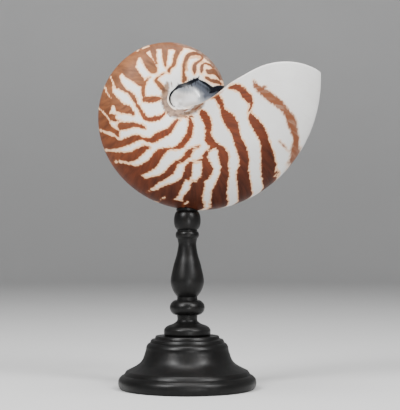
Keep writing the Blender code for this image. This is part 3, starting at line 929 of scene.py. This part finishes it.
def chalk_colour(paint, body, lines, age):
    """The white ground: clouded, lined by growth, and yellower on the old part behind the lip."""
    cloud = paint.noise(body, 38.0, 3.0)
    chalk = paint.mix(paint.span(cloud, 0.35, 0.68), *CHALK)
    chalk = paint.mix(paint.span(lines, 0.52, 0.74, 0.0, 0.32), chalk, CHALK_LINES)
    return paint.mix(paint.span(age, 0.05, 0.28, 0.60, 0.0), chalk, CHALK_BEHIND_LIP)


def brown_pigment(paint, growth, age, streaks, ragged):
    """Red-brown: deep low on the last half turn, sandier on the older part, orange at a stripe's edge."""
    streak = paint.span(streaks, 0.32, 0.68)
    outer = paint.span(paint.part(growth, "Y"), 45.0, 95.0)
    low = paint.math("MULTIPLY", outer, paint.span(age, 0.50, 0.72))
    young = paint.mix(low, paint.mix(streak, *YOUNG_BROWN), paint.mix(streak, *DEEP_BROWN))
    pigment = paint.mix(paint.span(age, 0.36, 0.64), paint.mix(streak, *OLD_BROWN), young)
    pigment = paint.mix(paint.span(age, 0.14, 0.34, 0.62, 0.0), pigment, BROWN_BEHIND_LIP)
    return paint.mix(paint.span(ragged, 0.1, 1.2, 0.40, 0.0), pigment, STRIPE_EDGE)


def striped(paint, growth, age, streaks, crumbs, chalk):
    """The chalk with the brown stripes and the paler ones near the lip, ragged across their growth lines."""
    teeth = paint.noise(paint.scaled(growth, (0.16, 0.46, 7.0)), 1.0, 2.5, 0.68)
    toothed = paint.frayed(paint.field("stripe"), teeth, paint.span(age, 0.0, 0.75, 1.3, 3.8))
    ragged = paint.math("ADD", toothed, paint.span(age, 0.1, 0.3, 0.28, 0.0))
    ragged = paint.frayed(ragged, crumbs, 1.5)
    colour = paint.mix(paint.span(ragged, -1.65, -0.80), chalk, STRIPE_HALO)
    pigment = brown_pigment(paint, growth, age, streaks, ragged)
    colour = paint.mix(paint.span(ragged, -0.28, 0.08), colour, pigment)

    faint = paint.frayed(paint.frayed(paint.field("faint"), teeth, 3.6), crumbs, 2.0)
    broken = paint.span(streaks, 0.2, 0.55, 0.70, 1.0)
    colour = paint.mix(paint.span(faint, -2.0, -0.3, 0.0, 0.7), colour, FAINT_HALO)
    return paint.mix(paint.math("MULTIPLY", paint.span(faint, -1.1, 0.7), broken), colour, FAINT_BROWN)


def aged(paint, body, growth, crumbs, colour):
    """Tan patches, the dusty strip on the venter, the callus round the patch and its thin brown lines."""
    mottle = paint.noise(paint.scaled(growth, (0.30, 0.20, 5.0)), 1.0, 3.0, 0.65)
    blotches = paint.noise(body, 260.0, 3.0, 0.6, 0.8)
    tan = paint.frayed(paint.field("tan"), crumbs, 2.4)
    worn = paint.frayed(paint.field("worn"), crumbs, 2.4)
    callus = paint.frayed(paint.frayed(paint.field("callus"), mottle, 3.5), crumbs, 2.0)
    line = paint.frayed(paint.field("brown_line"), crumbs, 0.9)
    dust = paint.mix(paint.span(mottle, 0.40, 0.62), *DUST)
    callus_tan = paint.mix(paint.span(blotches, 0.36, 0.64), *CALLUS_TAN)
    colour = paint.mix(paint.span(tan, -0.8, 0.6, 0.0, 0.8), colour, TAN)
    colour = paint.mix(paint.span(worn, -1.4, 0.7, 0.0, 0.85), colour, dust)
    colour = paint.mix(paint.span(callus, -1.7, 0.5, 0.0, 0.95), colour, callus_tan)
    return paint.mix(paint.span(line, -0.40, 0.30, 0.0, 0.95), colour, LINE_BROWN)


def pearl_colour(paint, body):
    """White pearl, greyer at its outline and blue-black in three steps towards the aperture: painted shade
    and reflection.
    """
    barbs = paint.noise(paint.scaled(body, (1100.0, 200.0, 160.0)), 1.0, 3.0, 0.65)
    painted_shade = paint.frayed(paint.field("painted_shade"), barbs, 3.0)
    pearl = paint.mix(paint.span(paint.noise(body, 120.0, 2.0), 0.35, 0.65), *PEARL)
    # Painted shade, greyer towards the patch's outline
    pearl = paint.mix(paint.span(paint.field("patch"), 0.0, 4.2, 0.70, 0.0), pearl, PEARL_EDGE_SHADE)
    # Painted shade and dark reflection, in three steps towards the aperture
    for start, end, shade in PAINTED_SHADE_STEPS:
        pearl = paint.mix(paint.span(painted_shade, start, end), pearl, shade)
    return pearl


def paint_skin():
    """Cream-white shell with ragged red-brown stripes, growth lines, callus and the pearly patch."""
    paint = Paint("shell_skin")
    body = paint.places()
    growth = paint.places("growth")
    age = paint.field("turn")
    lines = paint.noise(paint.scaled(growth, (0.75, 0.035, 3.0)), 1.0, 4.0, 0.6)
    streaks = paint.noise(paint.scaled(growth, (0.22, 0.05, 5.0)), 1.0, 4.0, 0.65)
    grain = paint.noise(body, 900.0, 2.0)
    crumbs = paint.noise(body, 560.0, 2.5, 0.6)

    colour = chalk_colour(paint, body, lines, age)
    colour = striped(paint, growth, age, streaks, crumbs, colour)
    colour = aged(paint, body, growth, crumbs, colour)
    in_patch = paint.span(paint.field("patch"), -0.18, 0.18)
    colour = paint.mix(in_patch, colour, pearl_colour(paint, body))

    feather = paint.noise(paint.scaled(body, (1500.0, 260.0, 300.0)), 1.0, 3.0, 0.7)
    in_film = paint.span(paint.frayed(paint.field("film"), feather, 1.7), -0.42, 0.36)
    colour = paint.mix(in_film, colour, FILM_BLACK)
    # The rim's cream edge line, partly a painted highlight
    edge = paint.span(paint.frayed(paint.field("edge_line"), crumbs, 0.6), -0.30, 0.25)
    edge = paint.math("MULTIPLY", edge, paint.span(in_patch, 0.3, 0.8, 1.0, 0.0))
    colour = paint.mix(edge, colour, EDGE_CREAM_HIGHLIGHT)

    smooth = paint.math("MAXIMUM", in_patch, in_film)
    satin = paint.span(grain, 0.3, 0.7, 0.40, 0.50)
    relief = paint.math("MULTIPLY_ADD", grain, 0.12, lines)
    quiet = paint.math("MULTIPLY", relief, paint.span(smooth, 0.0, 1.0, 1.0, 0.1))
    highlight = paint.span(paint.field("gloss"), -1.8, 1.0, 0.10, 1.0)
    paint.set(
        base_color=colour,
        roughness=paint.mix(smooth, satin, (0.24, 0.24, 0.24)),
        specular_ior_level=0.12,
        coat_weight=paint.math("MULTIPLY", in_patch, highlight),
        coat_roughness=0.17,
        normal=paint.bump(quiet, 0.00012, 0.7),
    )
    return paint.material


def paint_nacre():
    """Mother-of-pearl of the chamber wall and septum, with the black film on the turn inside."""
    paint = Paint("shell_nacre")
    growth = paint.places("growth")
    age = paint.field("turn")
    drift = paint.noise(paint.places(), 55.0, 3.0, 0.5, 0.6)
    sheen = paint.noise(paint.scaled(growth, (0.06, 0.05, 2.0)), 1.0, 3.0)
    lines = paint.noise(paint.scaled(growth, (0.5, 0.03, 3.0)), 1.0, 3.0, 0.6)
    colour = paint.mix(paint.span(drift, 0.38, 0.64), *NACRE)
    colour = paint.mix(paint.span(sheen, 0.45, 0.70, 0.0, 0.75), colour, NACRE_GREEN)
    colour = paint.mix(paint.span(lines, 0.5, 0.8, 0.0, 0.35), colour, NACRE_LINES)

    feather = paint.noise(paint.scaled(growth, (0.05, 0.6, 2.0)), 1.0, 3.0, 0.7)
    start = paint.span(paint.frayed(age, feather, 0.05), -0.060, -0.025)
    film = paint.math("MULTIPLY", start, paint.span(age, 0.05, 0.15, 1.0, 0.0))
    colour = paint.mix(film, colour, NACRE_FILM)
    corner = paint.span(age, 0.84, 0.90)
    callus = paint.math("MULTIPLY", corner, paint.span(paint.field("callus"), -1.0, 0.5))
    line = paint.math("MULTIPLY", corner, paint.span(paint.field("brown_line"), -0.7, 0.2))
    colour = paint.mix(callus, colour, NACRE_CALLUS)
    colour = paint.mix(line, colour, NACRE_BROWN)
    paint.set(
        base_color=colour,
        roughness=paint.span(drift, 0.3, 0.7, 0.16, 0.28),
        coat_weight=0.5,
        coat_roughness=0.10,
        normal=paint.bump(lines, 0.0001, 0.5),
    )
    return paint.material


def paint_rim():
    """The lip's edge: clean along the flank, worn and tan near the coil."""
    paint = Paint("shell_rim")
    chips = paint.noise(paint.places(), 420.0, 4.0, 0.65)
    chipped = paint.span(chips, 0.35, 0.7)
    outer = paint.span(paint.part(paint.places("growth"), "Y"), 28.0, 50.0)
    paint.set(
        base_color=paint.mix(outer, paint.mix(chipped, *RIM_WORN), paint.mix(chipped, *RIM_CLEAN)),
        roughness=paint.span(chips, 0.3, 0.7, 0.36, 0.55),
        specular_ior_level=0.3,
        normal=paint.bump(chips, 0.0001, 0.6),
    )
    return paint.material


def paint_wood(name, depth):
    """Near-black lacquered wood: long grain along the axis, turning marks round it, rubbed edges."""
    paint = Paint(name)
    body = paint.places()
    fibres = paint.noise(paint.scaled(body, (420.0, 420.0, 28.0)), 1.0, 5.0, 0.65, 0.4)
    rings = paint.noise(paint.scaled(body, (4.0, 4.0, 2600.0)), 1.0, 2.0, 0.7)
    rub = paint.noise(body, 65.0, 4.0, 0.6)
    lacquer = (depth, depth, depth)
    fibre = (depth * 2.0, depth * 1.7, depth * 1.5)
    rubbed = (depth * 3.0, depth * 2.6, depth * 2.3)
    colour = paint.mix(paint.span(fibres, 0.42, 0.72), lacquer, fibre)
    colour = paint.mix(paint.span(rub, 0.58, 0.8, 0.0, 0.4), colour, rubbed)
    relief = paint.math("MULTIPLY_ADD", rings, 0.7, paint.math("MULTIPLY", fibres, 0.7))
    paint.set(
        base_color=colour,
        roughness=paint.span(rub, 0.3, 0.75, 0.31, 0.46),
        specular_ior_level=0.22,
        normal=paint.bump(relief, 0.00011, 0.7),
    )
    return paint.material


def paint_studio():
    """Pale grey, lighter up the wall as painted light where the lamps reach it less."""
    paint = Paint("pale_studio")
    mottle = paint.noise(paint.places(), 3.0, 3.0)
    height = paint.span(paint.part(paint.places(), "Z"), 0.0, BOWL_BEND)
    # Painted light: the wall lighter than the floor, rising with height
    colour = paint.mix(height, FLOOR_GREY, WALL_GREY_PAINTED_LIGHT)
    colour = paint.mix(paint.span(mottle, 0.3, 0.7, 0.0, 0.1), colour, MOTTLE_GREY)
    paint.set(base_color=colour, roughness=0.8, specular_ior_level=0.0)
    return paint.material


def make_area_light(name, spot, aim, size, power, diffuse=True):
    data = bpy.data.lights.new(name, "AREA")
    data.shape = "RECTANGLE"
    data.size, data.size_y = size
    data.energy = power
    light = place(name, data)
    light.location = spot
    light.rotation_euler = (Vector(aim) - Vector(spot)).to_track_quat("-Z", "Y").to_euler()
    light.visible_diffuse = diffuse


def make_camera():
    data = bpy.data.cameras.new("camera")
    data.sensor_width = SENSOR
    data.lens = FOCAL * SENSOR / FRAME_SIZE[1]
    data.clip_start = 0.01
    camera = place("camera", data)
    camera.location = EYE
    camera.rotation_euler = Vector(AIM - EYE).to_track_quat("-Z", "Y").to_euler()
    bpy.context.scene.camera = camera


def make_backdrop():
    """The studio's bowl: floor, rounded bend and wall, open above."""
    arc = [math.pi / 2 * i / BOWL_ARCS for i in range(BOWL_ARCS + 1)]
    rings = [(BOWL_FLOOR + BOWL_BEND * math.sin(a), BOWL_BEND - BOWL_BEND * math.cos(a)) for a in arc]
    rings.append((BOWL_FLOOR + BOWL_BEND, BOWL_TOP))
    mesh = bpy.data.meshes.new("backdrop")
    mesh.from_pydata(ring_points(rings, BOWL_SPOKES), [], ring_faces(len(rings), BOWL_SPOKES))
    mesh.materials.append(paint_studio())
    mesh.shade_smooth()
    backdrop = place("backdrop", mesh)


def make_studio():
    make_backdrop()
    world = bpy.data.worlds.new("studio")
    world.use_nodes = True
    sky = world.node_tree.nodes["Background"]
    sky.inputs["Color"].default_value = SKY_COLOUR
    sky.inputs["Strength"].default_value = SKY_STRENGTH
    bpy.context.scene.world = world
    for box in SOFT_BOXES:
        make_area_light(*box)
    make_area_light(*GLOSS_STRIP, diffuse=False)


def dress(piece, node):
    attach(piece, "root")
    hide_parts(node)


make_camera()
shell = make_shell((paint_skin(), paint_nacre(), paint_rim()))
mark_shell(shell.data)
dress(shell, "nautilus_shell")
shell_tree = BVHTree.FromObject(shell, bpy.context.evaluated_depsgraph_get())


def seat_height(x, y):
    """How high the collar may reach under the shell."""
    hit = shell_tree.ray_cast(Vector((x, y, BELOW_SHELL)), Vector((0, 0, 1)))[0]
    return hit.z - CONTACT_GAP


stem_wood = paint_wood("stem_wood", STEM_BLACK)
base_wood = paint_wood("base_wood", BASE_BLACK)
stem = make_turned("stem_finished", stem_outline(), STEM_STEPS, STEM_CAP_RINGS, stem_wood, seat_height)
dress(stem, "stem")
base = make_turned("base_finished", base_outline(), BASE_STEPS, BASE_CAP_RINGS, base_wood)
dress(base, "base")
make_studio()
